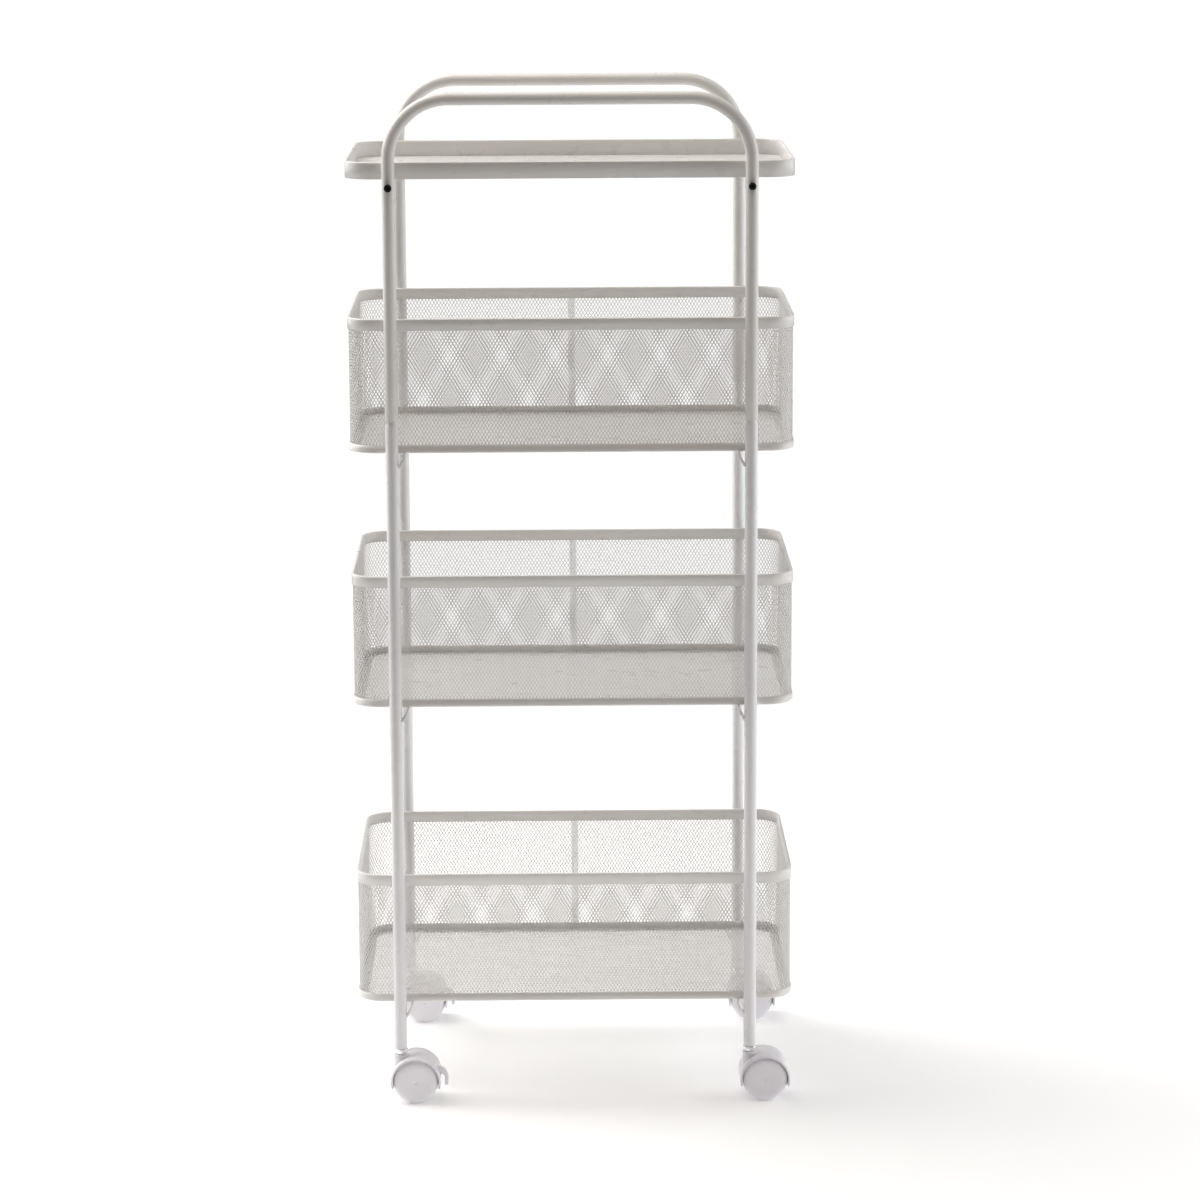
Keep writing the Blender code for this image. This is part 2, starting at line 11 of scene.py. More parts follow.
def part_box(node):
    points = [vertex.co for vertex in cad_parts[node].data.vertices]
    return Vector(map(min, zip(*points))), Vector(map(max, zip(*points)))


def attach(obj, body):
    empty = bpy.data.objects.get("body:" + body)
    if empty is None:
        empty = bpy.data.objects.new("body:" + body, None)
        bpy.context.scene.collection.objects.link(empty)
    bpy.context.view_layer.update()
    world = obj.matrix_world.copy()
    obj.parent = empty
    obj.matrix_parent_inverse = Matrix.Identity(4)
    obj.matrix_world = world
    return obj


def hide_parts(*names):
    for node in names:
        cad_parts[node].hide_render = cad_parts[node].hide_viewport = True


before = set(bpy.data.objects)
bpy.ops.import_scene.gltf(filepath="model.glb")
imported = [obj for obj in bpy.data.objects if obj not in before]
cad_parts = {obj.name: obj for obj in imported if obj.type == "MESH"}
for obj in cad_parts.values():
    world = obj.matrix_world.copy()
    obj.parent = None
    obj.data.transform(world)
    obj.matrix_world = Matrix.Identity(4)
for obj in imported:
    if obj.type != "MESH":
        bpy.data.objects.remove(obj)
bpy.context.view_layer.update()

# ---------------------------------------------------------------------------------------------
# The studio: a round white floor, soft boxes overhead and at both sides, and weaker ones behind and
# in front. Only the camera sees the room's full white; the room itself lights the cart very little.
# The camera stands a good way off at chest height and looks slightly down with a long lens.
# ---------------------------------------------------------------------------------------------
LENS_MM = 118.1
STAND = Vector((-0.0162, -3.9445, 1.2780))
TURN_RIGHT = radians(0.649)
LOOK_DOWN = radians(11.356)
LEAN = radians(-0.275)

camera = bpy.data.objects.new("camera", bpy.data.cameras.new("camera"))
camera.data.sensor_width = 36.0
camera.data.lens = LENS_MM
camera.data.clip_end = 60.0
camera.matrix_world = (Matrix.Translation(STAND) @ Matrix.Rotation(-TURN_RIGHT, 4, "Z")
                       @ Matrix.Rotation(pi / 2 - LOOK_DOWN, 4, "X") @ Matrix.Rotation(LEAN, 4, "Z"))
bpy.context.scene.collection.objects.link(camera)
bpy.context.scene.camera = camera
bpy.context.scene.view_settings.view_transform = "Standard"


def soft_box(name, place, target, width, height, watts, colour):
    """Hang a rectangular light that faces a target and isn't seen itself."""
    lamp = bpy.data.lights.new(name, "AREA")
    lamp.shape = "RECTANGLE"
    lamp.size = width
    lamp.size_y = height
    lamp.energy = watts
    lamp.color = colour
    box = bpy.data.objects.new(name, lamp)
    box.location = place
    box.rotation_euler = (Vector(target) - Vector(place)).to_track_quat("-Z", "Y").to_euler()
    box.visible_camera = False
    bpy.context.scene.collection.objects.link(box)


soft_box("overhead", (-0.9, 0.5, 3.2), (0.0, 0.1, 0.0), 2.6, 2.2, 55, (1.0, 0.98, 0.96))
soft_box("high_left", (-1.9, 0.7, 2.5), (0.0, 0.1, 0.3), 1.6, 1.6, 36, (1.0, 0.99, 0.98))
soft_box("high_front", (0.2, -1.4, 3.2), (0.0, 0.0, 0.2), 2.2, 1.6, 17, (1.0, 0.88, 0.77))
soft_box("left_rear", (-1.5, 1.25, 0.9), (0.0, 0.0, 0.55), 0.7, 2.0, 10, (1.0, 0.99, 0.98))
soft_box("left_side", (-2.2, 0.25, 1.0), (0.0, 0.0, 0.6), 1.0, 2.2, 18, (1.0, 0.98, 0.96))
soft_box("right_rear", (1.7, 1.1, 1.0), (0.0, 0.0, 0.6), 1.0, 2.0, 10, (1.0, 1.0, 1.0))
soft_box("right_side", (2.2, -0.1, 1.0), (0.0, 0.0, 0.6), 1.3, 2.2, 27, (0.96, 0.98, 1.0))
soft_box("low_right", (1.3, -1.2, 0.16), (0.1, 0.0, 0.16), 1.2, 0.3, 2, (1.0, 0.97, 0.95))
soft_box("behind", (0.0, 2.8, 1.2), (0.0, 0.0, 0.6), 2.6, 2.0, 5, (1.0, 1.0, 1.0))

ROOM_GLOW = 0.01
SEEN_GLOW = 1.05
world = bpy.data.worlds.new("white_room")
world.use_nodes = True
bpy.context.scene.world = world
sky = world.node_tree.nodes["Background"]
sky.inputs["Color"].default_value = (1.0, 0.90, 0.80, 1)
sky.inputs["Strength"].default_value = ROOM_GLOW
seen = world.node_tree.nodes.new("ShaderNodeBackground")
seen.inputs["Color"].default_value = (1, 1, 1, 1)
seen.inputs["Strength"].default_value = SEEN_GLOW
ray = world.node_tree.nodes.new("ShaderNodeLightPath")
either = world.node_tree.nodes.new("ShaderNodeMixShader")
world.node_tree.links.new(ray.outputs["Is Camera Ray"], either.inputs["Fac"])
world.node_tree.links.new(sky.outputs["Background"], either.inputs[1])
world.node_tree.links.new(seen.outputs["Background"], either.inputs[2])
world_output = world.node_tree.nodes["World Output"]
world.node_tree.links.new(either.outputs["Shader"], world_output.inputs["Surface"])

FLOOR_R = 1.5
FLOOR_WHITE = 0.95
FLOOR_GLOW = 0.16
floor_bm = bmesh.new()
bmesh.ops.create_circle(floor_bm, cap_ends=True, segments=96, radius=FLOOR_R)
floor_mesh = bpy.data.meshes.new("studio_floor")
floor_bm.to_mesh(floor_mesh)
floor_bm.free()
studio_floor = bpy.data.objects.new("studio_floor", floor_mesh)
bpy.context.scene.collection.objects.link(studio_floor)
paper = bpy.data.materials.new("white_sweep")
paper.use_nodes = True
paper_shader = paper.node_tree.nodes["Principled BSDF"]
paper_shader.inputs["Base Color"].default_value = (FLOOR_WHITE, FLOOR_WHITE, FLOOR_WHITE, 1)
paper_shader.inputs["Roughness"].default_value = 0.9
paper_shader.inputs["Emission Color"].default_value = (1, 1, 1, 1)
paper_shader.inputs["Emission Strength"].default_value = FLOOR_GLOW
floor_mesh.materials.append(paper)

# ---------------------------------------------------------------------------------------------
# Handle tubes: one piece of half-inch steel tube each, bent twice and powder coated warm white.
# Their legs slip over the necks of the lower posts, and their cut ends show there.
# ---------------------------------------------------------------------------------------------
TUBE_WALL = 0.0010
HANDLE_BEND = 0.059
TUBE_SIDES = 40
BEND_STEPS = 20
EDGE_BREAK = 0.00018


def noise(tree, scale, detail, source, output="Fac", distortion=0.0):
    """Add a noise texture on the given coordinates and return one of its outputs."""
    texture = tree.nodes.new("ShaderNodeTexNoise")
    texture.inputs["Scale"].default_value = scale
    texture.inputs["Detail"].default_value = detail
    texture.inputs["Distortion"].default_value = distortion
    tree.links.new(source, texture.inputs["Vector"])
    return texture.outputs[output]


def spread(tree, source, low, high, start=0.3, end=0.7):
    """Stretch a value between two limits."""
    ramp = tree.nodes.new("ShaderNodeMapRange")
    ramp.inputs["From Min"].default_value = start
    ramp.inputs["From Max"].default_value = end
    ramp.inputs["To Min"].default_value = low
    ramp.inputs["To Max"].default_value = high
    tree.links.new(source, ramp.inputs["Value"])
    return ramp.outputs["Result"]


def blend_colour(tree, share, first, second):
    """Mix two colours, or a colour and a socket, by a share."""
    mix = tree.nodes.new("ShaderNodeMix")
    mix.data_type = "RGBA"
    tree.links.new(share, mix.inputs["Factor"])
    for name, value in (("A", first), ("B", second)):
        socket = [s for s in mix.inputs if s.name == name and s.type == "RGBA"][0]
        if isinstance(value, tuple):
            socket.default_value = (*value, 1)
        else:
            tree.links.new(value, socket)
    return [s for s in mix.outputs if s.type == "RGBA"][0]


def new_finish(name):
    """Start a material and give its tree, its shader and its Object coordinates."""
    material = bpy.data.materials.new(name)
    material.use_nodes = True
    tree = material.node_tree
    where = tree.nodes.new("ShaderNodeTexCoord").outputs["Object"]
    return material, tree, tree.nodes["Principled BSDF"], where


def emboss(tree, shader, height, strength, distance):
    """Raise the surface by a height value."""
    bump = tree.nodes.new("ShaderNodeBump")
    bump.inputs["Strength"].default_value = strength
    bump.inputs["Distance"].default_value = distance
    tree.links.new(height, bump.inputs["Height"])
    tree.links.new(bump.outputs["Normal"], shader.inputs["Normal"])


def powder_coat(name, deep, pale):
    """Powder coat between two tones: satin, faintly uneven, with fine orange peel and thin edges."""
    material, tree, shader, where = new_finish(name)
    cloud = spread(tree, noise(tree, 9.0, 3.0, where), 0.0, 1.0)
    tone = blend_colour(tree, cloud, deep, pale)
    speck = spread(tree, noise(tree, 1400.0, 2.0, where), 0.0, 0.12, 0.60, 0.80)
    tone = blend_colour(tree, speck, tone, (0.55, 0.52, 0.49))
    edge = tree.nodes.new("ShaderNodeNewGeometry").outputs["Pointiness"]
    worn = spread(tree, edge, 0.0, 0.35, 0.56, 0.64)
    tone = blend_colour(tree, worn, tone, (0.88, 0.87, 0.85))
    tree.links.new(tone, shader.inputs["Base Color"])
    tree.links.new(spread(tree, noise(tree, 60.0, 4.0, where), 0.26, 0.36), shader.inputs["Roughness"])
    emboss(tree, shader, noise(tree, 620.0, 2.5, where, distortion=0.4), 0.35, 0.00012)
    shader.inputs["Specular IOR Level"].default_value = 0.5
    return material


def region(faces):
    """Give faces with their edges and corners, so that extruding them leaves nothing inside."""
    edges = {edge for face in faces for edge in face.edges}
    verts = {vert for face in faces for vert in face.verts}
    return list(faces) + sorted(edges, key=lambda e: e.index) + sorted(verts, key=lambda v: v.index)


def faces_in(geometry):
    return [item for item in geometry if isinstance(item, bmesh.types.BMFace)]


def push(bm, faces, travel):
    """Extrude faces straight and return the far ones."""
    bm.verts.index_update()
    bm.edges.index_update()
    grown = bmesh.ops.extrude_face_region(bm, geom=region(faces))["geom"]
    verts = [item for item in grown if isinstance(item, bmesh.types.BMVert)]
    bmesh.ops.translate(bm, verts=verts, vec=travel)
    return faces_in(grown)


def swing(bm, faces, centre, axis, angle, steps):
    """Extrude faces along an arc and return the far ones."""
    bm.verts.index_update()
    bm.edges.index_update()
    swept = bmesh.ops.spin(bm, geom=region(faces), cent=centre, axis=axis, angle=angle, steps=steps,
                           use_duplicate=False)
    return faces_in(swept["geom_last"])


def ring_face(bm, centre, outer, inner, sides):
    """Draw a flat ring, the cut end of a tube."""
    for radius in (outer, inner):
        bmesh.ops.create_circle(bm, segments=sides, radius=radius, matrix=Matrix.Translation(centre))
    bmesh.ops.bridge_loops(bm, edges=bm.edges[:])
    return bm.faces[:]


def soften(bm, edges, width, steps=2):
    """Round a set of edges."""
    bmesh.ops.bevel(bm, geom=list(edges), offset=width, segments=steps, profile=0.5, affect="EDGES",
                    clamp_overlap=True, material=-1)


def add_piece(name, bm, body, material, nodes=(), tidy=True, sharp=40):
    """Turn a bmesh into a finished piece that rides on a body and stands for the given nodes."""
    if tidy:
        bmesh.ops.remove_doubles(bm, verts=bm.verts[:], dist=1e-6)
        bmesh.ops.recalc_face_normals(bm, faces=bm.faces[:])
    mesh = bpy.data.meshes.new(name)
    bm.to_mesh(mesh)
    bm.free()
    mesh.shade_smooth()
    mesh.set_sharp_from_angle(angle=radians(sharp))
    mesh.materials.append(material)
    piece = bpy.data.objects.new(name, mesh)
    bpy.context.scene.collection.objects.link(piece)
    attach(piece, body)
    if nodes:
        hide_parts(*nodes)
    return piece


COAT = powder_coat("warm_white_powder_coat", (0.800, 0.780, 0.756), (0.835, 0.817, 0.795))
for end in ("front", "rear"):
    low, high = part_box(f"{end}_handle_tube")
    radius = (high.y - low.y) / 2
    y = (high.y + low.y) / 2
    left = low.x + radius
    bend_z = high.z - radius - HANDLE_BEND
    bend_x = left + HANDLE_BEND
    bm = bmesh.new()
    faces = ring_face(bm, (left, y, low.z), radius, radius - TUBE_WALL, TUBE_SIDES)
    faces = push(bm, faces, (0, 0, bend_z - low.z))
    faces = swing(bm, faces, (bend_x, y, bend_z), (0, 1, 0), pi / 2, BEND_STEPS)
    faces = push(bm, faces, (-2 * bend_x, 0, 0))
    faces = swing(bm, faces, (-bend_x, y, bend_z), (0, 1, 0), pi / 2, BEND_STEPS)
    push(bm, faces, (0, 0, low.z - bend_z))
    rims = [e for e in bm.edges if all(abs(v.co.z - low.z) < 1e-6 for v in e.verts)
            and len({round((v.co.xy - Vector((left if v.co.x < 0 else -left, y))).length, 5)
                     for v in e.verts}) == 1]
    soften(bm, rims, EDGE_BREAK)
    add_piece(f"handle_{end}", bm, "frame", COAT, [f"{end}_handle_tube"])

# ---------------------------------------------------------------------------------------------
# Lower posts: straight tube swaged to a neck that plugs into the handle. Three bent straps are
# welded on each to carry the baskets, and the front left one has a crimp mark near its foot. Their
# powder coat is a shade cooler and paler than the rest.
# ---------------------------------------------------------------------------------------------
SHOULDER_DROP = 0.0050
NECK_FIT = 0.0003
SHOULDER_ROUND = 0.0012
CRIMP_RISE = 0.0125
CRIMP_H = 0.0022
CRIMP_DEPTH = 0.0007
HOOK_DROP = 0.0130
HOOK_REACH = 0.0044
HOOK_STRAP = 0.0020
HOOK_FRONT = 0.0030
HOOK_BACK = 0.0160
HOOK_BEND_STEPS = 5
HOOK_EDGE = 0.00045
BEAD_R = 0.0011
BEAD_LIFT = 0.0002
BEADS = 7
SIDE = {"left": -1, "right": 1}
END = {"front": -1, "rear": 1}
TIERS = ("lower", "middle", "upper")


def outline_face(bm, outline, place):
    """Draw a flat outline of (x, z, corner radius) points as a face, rounding the corners asked for."""
    corners = [(bm.verts.new(place(x, z)), radius) for x, z, radius in outline]
    bm.faces.new([vert for vert, _ in corners])
    for vert, radius in corners:
        if radius > 0:
            bmesh.ops.bevel(bm, geom=[vert], offset=radius, segments=HOOK_BEND_STEPS, profile=0.5,
                            affect="VERTICES", material=-1)
    return bm.faces[:]


def lathe(outline, sides):
    """Turn a closed outline of (radius, height, corner radius) points round Z."""
    bm = bmesh.new()
    outline_face(bm, outline, lambda x, z: (x, 0, z))
    bmesh.ops.delete(bm, geom=bm.faces[:], context="FACES_ONLY")
    on_axis = [e for e in bm.edges if all(v.co.x < 1e-7 for v in e.verts)]
    bmesh.ops.delete(bm, geom=on_axis, context="EDGES")
    bmesh.ops.spin(bm, geom=bm.verts[:] + bm.edges[:], cent=(0, 0, 0), axis=(0, 0, 1), angle=2 * pi,
                   steps=sides, use_merge=True, use_duplicate=False)
    bmesh.ops.remove_doubles(bm, verts=bm.verts[:], dist=1e-6)
    bmesh.ops.recalc_face_normals(bm, faces=bm.faces[:])
    return bm


def move(bm, matrix):
    bmesh.ops.transform(bm, matrix=matrix, verts=bm.verts[:])
    return bm


def post_tube(low_z, high_z, shoulder_z, handle_z, radius, crimped):
    """Turn a post with its swaged neck, cut open at both ends, and press a crimp mark near its foot."""
    neck = radius - TUBE_WALL - NECK_FIT
    wall = TUBE_WALL
    crimp_z = low_z + CRIMP_RISE
    bm = lathe(((radius - wall, low_z, 0.0), (radius, low_z, EDGE_BREAK), (radius, crimp_z, 0),
                (radius, crimp_z + CRIMP_H, 0), (radius, shoulder_z, SHOULDER_ROUND),
                (neck, handle_z, 0), (neck, high_z, 0), (neck - wall, high_z, 0),
                (neck - wall, handle_z - wall, 0), (radius - wall, shoulder_z - wall, 0)), TUBE_SIDES)
    if not crimped:
        return bm
    toward = Vector((-0.25, -1)).normalized()
    marked = max((f for f in bm.faces if abs(f.calc_center_median().z - crimp_z - CRIMP_H / 2) < CRIMP_H / 4
                  and f.calc_center_median().xy.length > radius - wall / 2),
                 key=lambda f: f.calc_center_median().xy.normalized().dot(toward))
    bmesh.ops.inset_individual(bm, faces=[marked], thickness=CRIMP_H / 6, depth=-CRIMP_DEPTH)
    return bm


def strap(basket_z, x, y, side, end, radius):
    """Bend one basket strap from flat bar: welded to the post, slanting inboard and up to the basket."""
    bm = bmesh.new()
    reach = radius + HOOK_REACH
    points = ((radius - HOOK_STRAP / 2, basket_z - HOOK_DROP), (reach, basket_z - HOOK_STRAP * 1.8),
              (reach, basket_z - NECK_FIT))
    verts = [bm.verts.new((x - side * r, y + end * HOOK_FRONT, z)) for r, z in points]
    edges = [bm.edges.new(pair) for pair in zip(verts, verts[1:])]
    bmesh.ops.bevel(bm, geom=[verts[1]], offset=HOOK_STRAP, segments=HOOK_BEND_STEPS, profile=0.5,
                    affect="VERTICES", material=-1)
    grown = bmesh.ops.extrude_edge_only(bm, edges=bm.edges[:])["geom"]
    far = [item for item in grown if isinstance(item, bmesh.types.BMVert)]
    bmesh.ops.translate(bm, verts=far, vec=(0, -end * (HOOK_FRONT + HOOK_BACK), 0))
    bmesh.ops.recalc_face_normals(bm, faces=bm.faces[:])
    middle = bm.faces[:]
    bmesh.ops.solidify(bm, geom=middle, thickness=HOOK_STRAP)
    bmesh.ops.recalc_face_normals(bm, faces=bm.faces[:])
    long_edges = [e for e in bm.edges if e.is_manifold and e.calc_face_angle(0) > 1.2]
    soften(bm, long_edges, HOOK_EDGE)
    return bm


def weld_bead(basket_z, x, y, side, radius):
    """Lay a short row of weld ripples where a strap meets its post."""
    bm = bmesh.new()
    for i in range(BEADS):
        along = (i / (BEADS - 1) - 0.5) * 2 * HOOK_FRONT
        reach = (radius ** 2 - along ** 2) ** 0.5
        place = (x - side * (reach + BEAD_LIFT), y + along, basket_z - HOOK_DROP + HOOK_STRAP * 0.9)
        bmesh.ops.create_uvsphere(bm, u_segments=10, v_segments=6, radius=BEAD_R,
                                  matrix=Matrix.Translation(place))
    return bm


POST_COAT = powder_coat("cool_white_powder_coat", (0.855, 0.850, 0.860), (0.888, 0.884, 0.893))
for end_name, end in END.items():
    handle_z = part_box(f"{end_name}_handle_tube")[0].z
    for side_name, side in SIDE.items():
        node = f"{end_name}_{side_name}_lower_post"
        low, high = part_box(node)
        handle_low, handle_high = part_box(f"{end_name}_handle_tube")
        radius = (handle_high.y - handle_low.y) / 2
        x = side * (handle_high.x - radius)
        y = (handle_high.y + handle_low.y) / 2
        crimped = node == "front_left_lower_post"
        bm = post_tube(low.z, high.z, handle_z - SHOULDER_DROP, handle_z, radius, crimped)
        move(bm, Matrix.Translation((x, y, 0)))
        name = f"{end_name}_{side_name}"
        add_piece(f"post_{name}", bm, "frame", POST_COAT, [node])
        for tier in TIERS:
            basket_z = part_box(f"{tier}_basket_bottom_band")[0].z
            bm = strap(basket_z, x, y, side, end, radius)
            add_piece(f"strap_{name}_{tier}", bm, "frame", POST_COAT)
            bm = weld_bead(basket_z, x, y, side, radius)
            add_piece(f"weld_{name}_{tier}", bm, "frame", POST_COAT, tidy=False)

# ---------------------------------------------------------------------------------------------
# Tray: a strip folded over the edge of a mesh floor, with a tab and a weld nut behind each tube.
# Black socket-head screws run through the handle tubes into the nuts.
# ---------------------------------------------------------------------------------------------
STRIP = 0.0008
CORNER_R = 0.028
CORNER_STEPS = 16
FOLD_STEPS = 8
MESH_CELL_W = 0.00345
MESH_CELL_H = 0.00580
MESH_STRAND = 0.00060
MESH_GAUGE = 0.0006
FLOOR_GAUGE = 0.0004
TAB_WIDTH = 0.0125
TAB_ROUND = 0.003
NUT_D = 0.009
NUT_H = 0.003


def hem(bm, path, width, depth, corner):
    """Run an open strip profile of (inset, height) points round a rectangle with round corners."""
    x = width / 2 - corner
    y = depth / 2 - corner
    verts = [bm.verts.new((x, inset - depth / 2, height)) for inset, height in path]
    edges = [bm.edges.new(pair) for pair in zip(verts, verts[1:])]
    legs = (((x, -y), (0, 2 * y)), ((x, y), (-2 * x, 0)), ((-x, y), (0, -2 * y)), ((-x, -y), (2 * x, 0)))
    for centre, travel in legs:
        last = bmesh.ops.spin(bm, geom=verts + edges, cent=(*centre, 0), axis=(0, 0, 1), angle=pi / 2,
                              steps=CORNER_STEPS, use_duplicate=False)["geom_last"]
        edges = [item for item in last if isinstance(item, bmesh.types.BMEdge)]
        grown = bmesh.ops.extrude_edge_only(bm, edges=edges)["geom"]
        verts = [item for item in grown if isinstance(item, bmesh.types.BMVert)]
        edges = [item for item in grown if isinstance(item, bmesh.types.BMEdge)
                 and all(v in verts for v in item.verts)]
        bmesh.ops.translate(bm, verts=verts, vec=(*travel, 0))
    bmesh.ops.remove_doubles(bm, verts=bm.verts[:], dist=1e-6)


def folded_path(foot, top, thickness, inner_foot):
    """Give the middle line of a strip folded over: up the outside, round the fold, down the inside."""
    half = STRIP / 2
    bend = (thickness - STRIP) / 2
    centre = half + bend
    arc = [(centre - bend * cos(pi * i / FOLD_STEPS), top - half - bend + bend * sin(pi * i / FOLD_STEPS))
           for i in range(FOLD_STEPS + 1)]
    return [(half, foot)] + arc + [(thickness - half, inner_foot)]


def thicken(bm, thickness):
    """Give an open sheet its wall, half to each side."""
    bmesh.ops.recalc_face_normals(bm, faces=bm.faces[:])
    bmesh.ops.solidify(bm, geom=bm.faces[:], thickness=thickness)
    bmesh.ops.recalc_face_normals(bm, faces=bm.faces[:])


def sheet_piece(name, bm, body, material, thickness, nodes=()):
    """Finish an open sheet with a live wall of even thickness about its middle."""
    bmesh.ops.recalc_face_normals(bm, faces=bm.faces[:])
    piece = add_piece(name, bm, body, material, nodes, tidy=False)
    wall = piece.modifiers.new("wall", "SOLIDIFY")
    wall.thickness = thickness
    wall.offset = 0
    wall.use_even_offset = True
    return piece


def expanded_sheet(length, height):
    """Make a flat sheet of expanded mesh in X and Z with a row of crossings on every border."""
    columns = round(length / MESH_CELL_W)
    rows = round(height / MESH_CELL_H)
    bm = bmesh.new()
    bmesh.ops.create_grid(bm, x_segments=columns, y_segments=rows, size=0.5)
    squares = [e for e in bm.edges if not e.is_boundary]
    bmesh.ops.poke(bm, faces=bm.faces[:])
    bmesh.ops.dissolve_edges(bm, edges=squares, use_verts=False)
    stand = Matrix(((length, 0, 0, length / 2), (0, 0, 1, 0), (0, height, 0, height / 2), (0, 0, 0, 1)))
    move(bm, stand)
    strands = [e for e in bm.edges if not e.is_boundary]
    kept = bmesh.ops.bevel(bm, geom=strands, offset=MESH_STRAND / 2, segments=1, profile=0.5,
                           affect="EDGES", clamp_overlap=True, material=-1)["faces"]
    kept = set(kept)
    bmesh.ops.delete(bm, geom=[f for f in bm.faces if f not in kept], context="FACES")
    return bm


def clip_to_plan(bm, width, depth, corner):
    """Pull whatever lies outside a rectangle with round corners back to its border."""
    x_flat = width / 2 - corner
    y_flat = depth / 2 - corner
    outside = set()
    for vert in bm.verts:
        over = Vector((max(abs(vert.co.x) - x_flat, 0), max(abs(vert.co.y) - y_flat, 0)))
        if over.length > corner:
            outside.add(vert)
            over = over.normalized() * corner
            vert.co.x = (min(abs(vert.co.x), x_flat) + over.x) * (1 if vert.co.x > 0 else -1)
            vert.co.y = (min(abs(vert.co.y), y_flat) + over.y) * (1 if vert.co.y > 0 else -1)
    bmesh.ops.delete(bm, geom=[f for f in bm.faces if all(v in outside for v in f.verts)], context="FACES")


def mesh_floor(name, node_box, z, corner, side):
    """Lay one half of a mesh floor, its diamonds pointing front to rear."""
    low, high = node_box
    width = high.x - low.x
    depth = high.y - low.y
    bm = expanded_sheet(width / 2, depth)
    lay = Matrix(((side, 0, 0, 0), (0, 0, 1, -depth / 2), (0, 1, 0, z), (0, 0, 0, 1)))
    move(bm, lay)
    clip_to_plan(bm, width, depth, corner)
    return sheet_piece(name, bm, "frame", COAT, FLOOR_GAUGE)


tray_low, tray_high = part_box("tray_rim")
floor_low, floor_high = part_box("tray_mesh_floor")
rim_thickness = 2 * (floor_low.x - tray_low.x) + MESH_GAUGE
bm = bmesh.new()
path = folded_path(floor_low.z, tray_high.z, rim_thickness, floor_low.z + MESH_GAUGE + NECK_FIT)
hem(bm, path, tray_high.x - tray_low.x, tray_high.y - tray_low.y, CORNER_R)
sheet_piece("tray_rim_strip", bm, "frame", COAT, STRIP, ["tray_rim"])

edge_gap = floor_low.x - tray_low.x
for side_name, side in SIDE.items():
    piece = mesh_floor(f"tray_floor_{side_name}", (floor_low, floor_high), floor_low.z + MESH_GAUGE / 2,
                       CORNER_R - edge_gap, side)
    if side > 0:
        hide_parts("tray_mesh_floor")

screw_z = (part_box("front_left_tray_screw")[0].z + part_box("front_left_tray_screw")[1].z) / 2
for end_name, end in END.items():
    for side_name, side in SIDE.items():
        low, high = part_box(f"{end_name}_{side_name}_tray_screw")
        x = (low.x + high.x) / 2
        face = end * (tray_high.y - STRIP / 2)
        bm = bmesh.new()
        half = TAB_WIDTH / 2
        foot = tray_low.z
        top = floor_low.z + STRIP
        outline_face(bm, ((x - half, top, 0), (x + half, top, 0), (x + half, foot, TAB_ROUND),
                          (x - half, foot, TAB_ROUND)), lambda u, v: (u, face, v))
        thicken(bm, STRIP)
        add_piece(f"tray_tab_{end_name}_{side_name}", bm, "frame", COAT)
        bm = bmesh.new()
        seat = Matrix.Translation((x, face - end * (STRIP + NUT_H) / 2, screw_z))
        turn = seat @ Matrix.Rotation(pi / 2, 4, "X")
        bmesh.ops.create_cone(bm, cap_ends=True, segments=6, radius1=NUT_D / 2, radius2=NUT_D / 2,
                              depth=NUT_H, matrix=turn)
        soften(bm, bm.edges[:], EDGE_BREAK * 2)
        add_piece(f"weld_nut_{end_name}_{side_name}", bm, "frame", COAT)

# Tray screws: M4 socket heads in black oxide, knurled round the side, a clean hex recess in the end.
HEAD_D = 0.0075
HEAD_H = 0.0036
SCREW_D = 0.0040
HEX_R = 0.0019
HEX_DEPTH = 0.0020
KNURLS = 36
KNURL_DIP = 0.975


def black_oxide():
    """Blackened steel with an oily sheen, rubbed brighter on its edges."""
    material, tree, shader, where = new_finish("black_oxide_steel")
    patch = spread(tree, noise(tree, 700.0, 3.0, where), 0.0, 1.0)
    tone = blend_colour(tree, patch, (0.006, 0.006, 0.007), (0.016, 0.015, 0.015))
    edge = tree.nodes.new("ShaderNodeNewGeometry").outputs["Pointiness"]
    tone = blend_colour(tree, spread(tree, edge, 0.0, 0.5, 0.56, 0.68), tone, (0.10, 0.10, 0.10))
    tree.links.new(tone, shader.inputs["Base Color"])
    shader.inputs["Specular IOR Level"].default_value = 0.35
    tree.links.new(spread(tree, noise(tree, 1500.0, 2.0, where), 0.24, 0.40), shader.inputs["Roughness"])
    emboss(tree, shader, noise(tree, 3500.0, 2.0, where), 0.2, 0.00003)
    return material


